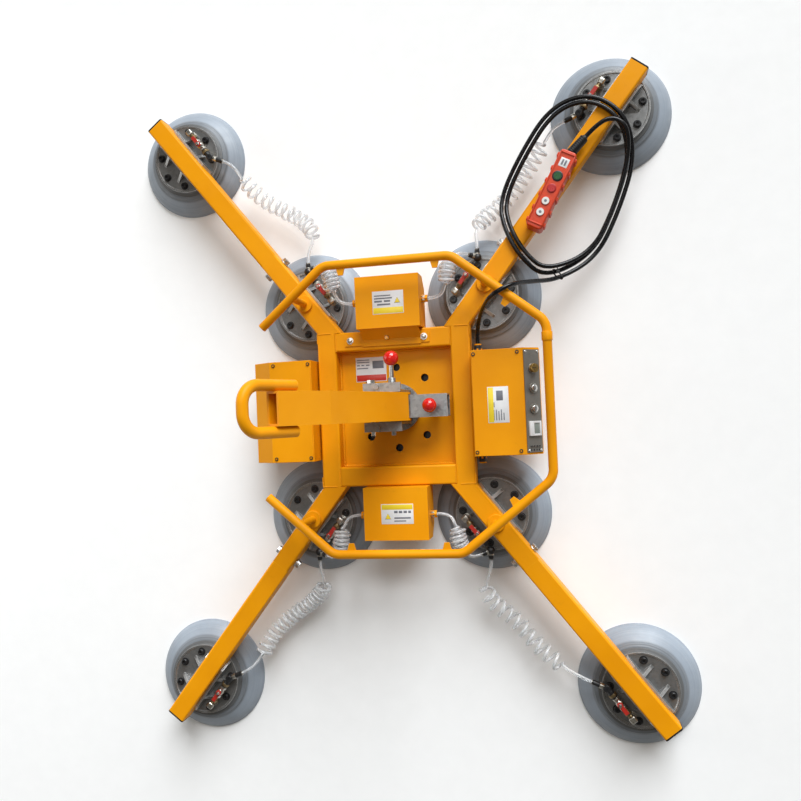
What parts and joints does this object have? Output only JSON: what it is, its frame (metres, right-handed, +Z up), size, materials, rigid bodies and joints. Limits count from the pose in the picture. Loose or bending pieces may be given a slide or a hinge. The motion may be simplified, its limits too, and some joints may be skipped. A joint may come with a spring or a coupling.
{
  "type": "vacuum glass lifter",
  "caption": "Electric vacuum lifter: a square frame with four telescopic arms and rubber cups, a swivelling lift arm with a ring, guard rail, control boxes, coiled hoses and a pendant.",
  "frame": {"origin": "on the swivel axis, in the plane of the cup lips", "axes": "+Z up, away from the cups; +Y along the longer span of the cups; the lift arm leans towards -X"},
  "size_m": [1.452, 1.744, 0.6831],
  "materials": {
    "paint": "satin powder coat",
    "zinc": "zinc plated",
    "panel": "matte",
    "black_plastic": "matte",
    "cast": "matte",
    "rubber": "soft matte",
    "plate": "as cast, turned rim",
    "fittings": "nickel plated",
    "pendant": "satin",
    "cable": "matte",
    "brass": "machined",
    "button_steel": "brushed",
    "button_green": "gloss",
    "button_red": "gloss",
    "button_white": "gloss",
    "ball_red": "gloss",
    "hose": "translucent"
  },
  "bodies": {
    "frame": {"main_frame": "paint", "index_plate": "paint", "guard_rail": "paint", "arm_lock_bolts": "zinc", "pump_boxes": "paint", "side_box_covers": "paint", "battery_case": "paint", "control_case": "paint", "control_panel": "panel", "batteries": "black_plastic", "vacuum_pumps": "cast", "inner_cup_rubbers": "rubber", "inner_cup_plates": "plate", "inner_cup_hardware": "fittings", "pendant_body": "pendant", "pendant_cable": "cable", "feed_hose_tr": "hose", "feed_hose_tl": "hose", "feed_hose_bl": "hose", "feed_hose_br": "hose"},
    "swivel": {"swivel_yoke": "zinc", "tilt_bolt": "zinc"},
    "lift_arm": {"lift_arm": "paint"},
    "index_plunger": {"index_plunger": "ball_red"},
    "tilt_lock_pin": {"tilt_lock_pin": "ball_red"},
    "extension_tr": {"extension_arm_tr": "paint", "cup_rubber_tr": "rubber", "cup_plate_tr": "plate", "cup_hardware_tr": "fittings", "outer_hose_tr": "hose"},
    "valve_lever_tr": {"valve_lever_tr": "ball_red"},
    "extension_tl": {"extension_arm_tl": "paint", "cup_rubber_tl": "rubber", "cup_plate_tl": "plate", "cup_hardware_tl": "fittings", "outer_hose_tl": "hose"},
    "valve_lever_tl": {"valve_lever_tl": "ball_red"},
    "extension_bl": {"extension_arm_bl": "paint", "cup_rubber_bl": "rubber", "cup_plate_bl": "plate", "cup_hardware_bl": "fittings", "outer_hose_bl": "hose"},
    "valve_lever_bl": {"valve_lever_bl": "ball_red"},
    "extension_br": {"extension_arm_br": "paint", "cup_rubber_br": "rubber", "cup_plate_br": "plate", "cup_hardware_br": "fittings", "outer_hose_br": "hose"},
    "valve_lever_br": {"valve_lever_br": "ball_red"},
    "inner_valve_lever_tr": {"inner_valve_lever_tr": "ball_red"},
    "inner_valve_lever_tl": {"inner_valve_lever_tl": "ball_red"},
    "inner_valve_lever_bl": {"inner_valve_lever_bl": "ball_red"},
    "inner_valve_lever_br": {"inner_valve_lever_br": "ball_red"},
    "pendant_button_1": {"pendant_button_1": "button_green"},
    "pendant_button_2": {"pendant_button_2": "button_red"},
    "pendant_button_3": {"pendant_button_3": "button_white"},
    "pendant_button_4": {"pendant_button_4": "button_white"},
    "panel_knob": {"panel_knob": "brass"},
    "panel_button_1": {"panel_button_1": "button_steel"},
    "panel_button_2": {"panel_button_2": "button_steel"}
  },
  "joints": [
    {"name": "swivel_spin", "type": "hinge", "parent": "frame", "child": "swivel", "pos_m": [0, 0, 0.07], "axis": [0, 0, 1], "continuous": true},
    {"name": "arm_tilt", "type": "hinge", "parent": "swivel", "child": "lift_arm", "pos_m": [-0.042, 0, 0.178], "axis": [0, 1, 0], "range_deg": [-65, 0]},
    {"name": "index_plunger_slide", "type": "slide", "parent": "swivel", "child": "index_plunger", "axis": [0, 0, 1], "range_m": [-0.016, 0]},
    {"name": "tilt_lock_slide", "type": "slide", "parent": "swivel", "child": "tilt_lock_pin", "axis": [0, -1, 0], "range_m": [0, 0.025]},
    {"name": "extension_tr_slide", "type": "slide", "parent": "frame", "child": "extension_tr", "axis": [0.617, 0.7869, 0], "range_m": [0, 0.14], "deforming": ["outer_hose_tr"]},
    {"name": "valve_tr_turn", "type": "hinge", "parent": "extension_tr", "child": "valve_lever_tr", "pos_m": [0.52251, 0.74615, 0.0935], "axis": [0, 0, 1], "range_deg": [0, 90]},
    {"name": "extension_tl_slide", "type": "slide", "parent": "frame", "child": "extension_tl", "axis": [-0.617, 0.7869, 0], "range_m": [0, 0.14], "deforming": ["outer_hose_tl"]},
    {"name": "valve_tl_turn", "type": "hinge", "parent": "extension_tl", "child": "valve_lever_tl", "pos_m": [-0.52251, 0.74615, 0.0935], "axis": [0, 0, -1], "range_deg": [0, 90]},
    {"name": "extension_bl_slide", "type": "slide", "parent": "frame", "child": "extension_bl", "axis": [-0.617, -0.7869, 0], "range_m": [0, 0.14], "deforming": ["outer_hose_bl"]},
    {"name": "valve_bl_turn", "type": "hinge", "parent": "extension_bl", "child": "valve_lever_bl", "pos_m": [-0.52251, -0.74615, 0.0935], "axis": [0, 0, 1], "range_deg": [0, 90]},
    {"name": "extension_br_slide", "type": "slide", "parent": "frame", "child": "extension_br", "axis": [0.617, -0.7869, 0], "range_m": [0, 0.14], "deforming": ["outer_hose_br"]},
    {"name": "valve_br_turn", "type": "hinge", "parent": "extension_br", "child": "valve_lever_br", "pos_m": [0.52251, -0.74615, 0.0935], "axis": [0, 0, -1], "range_deg": [0, 90]},
    {"name": "inner_valve_tr_turn", "type": "hinge", "parent": "frame", "child": "inner_valve_lever_tr", "pos_m": [0.19486, 0.32829, 0.0935], "axis": [0, 0, -1], "range_deg": [0, 90]},
    {"name": "inner_valve_tl_turn", "type": "hinge", "parent": "frame", "child": "inner_valve_lever_tl", "pos_m": [-0.19486, 0.32829, 0.0935], "axis": [0, 0, 1], "range_deg": [0, 90]},
    {"name": "inner_valve_bl_turn", "type": "hinge", "parent": "frame", "child": "inner_valve_lever_bl", "pos_m": [-0.19486, -0.32829, 0.0935], "axis": [0, 0, -1], "range_deg": [0, 90]},
    {"name": "inner_valve_br_turn", "type": "hinge", "parent": "frame", "child": "inner_valve_lever_br", "pos_m": [0.19486, -0.32829, 0.0935], "axis": [0, 0, 1], "range_deg": [0, 90]},
    {"name": "pendant_button_1_press", "type": "slide", "parent": "frame", "child": "pendant_button_1", "axis": [0, 0, -1], "range_m": [0, 0.003], "stiffness_N_per_m": 500, "springref_m": -0.002},
    {"name": "pendant_button_2_press", "type": "slide", "parent": "frame", "child": "pendant_button_2", "axis": [0, 0, -1], "range_m": [0, 0.003], "stiffness_N_per_m": 500, "springref_m": -0.002},
    {"name": "pendant_button_3_press", "type": "slide", "parent": "frame", "child": "pendant_button_3", "axis": [0, 0, -1], "range_m": [0, 0.003], "stiffness_N_per_m": 500, "springref_m": -0.002},
    {"name": "pendant_button_4_press", "type": "slide", "parent": "frame", "child": "pendant_button_4", "axis": [0, 0, -1], "range_m": [0, 0.003], "stiffness_N_per_m": 500, "springref_m": -0.002},
    {"name": "panel_knob_turn", "type": "hinge", "parent": "frame", "child": "panel_knob", "pos_m": [0.3514, 0.079, 0.14332], "axis": [0.6343, 0, 0.7731], "range_deg": [-135, 135]},
    {"name": "panel_button_1_press", "type": "slide", "parent": "frame", "child": "panel_button_1", "axis": [-0.6343, 0, -0.7731], "range_m": [0, 0.003], "stiffness_N_per_m": 800, "springref_m": -0.002},
    {"name": "panel_button_2_press", "type": "slide", "parent": "frame", "child": "panel_button_2", "axis": [-0.6343, 0, -0.7731], "range_m": [0, 0.003], "stiffness_N_per_m": 800, "springref_m": -0.002}
  ]
}
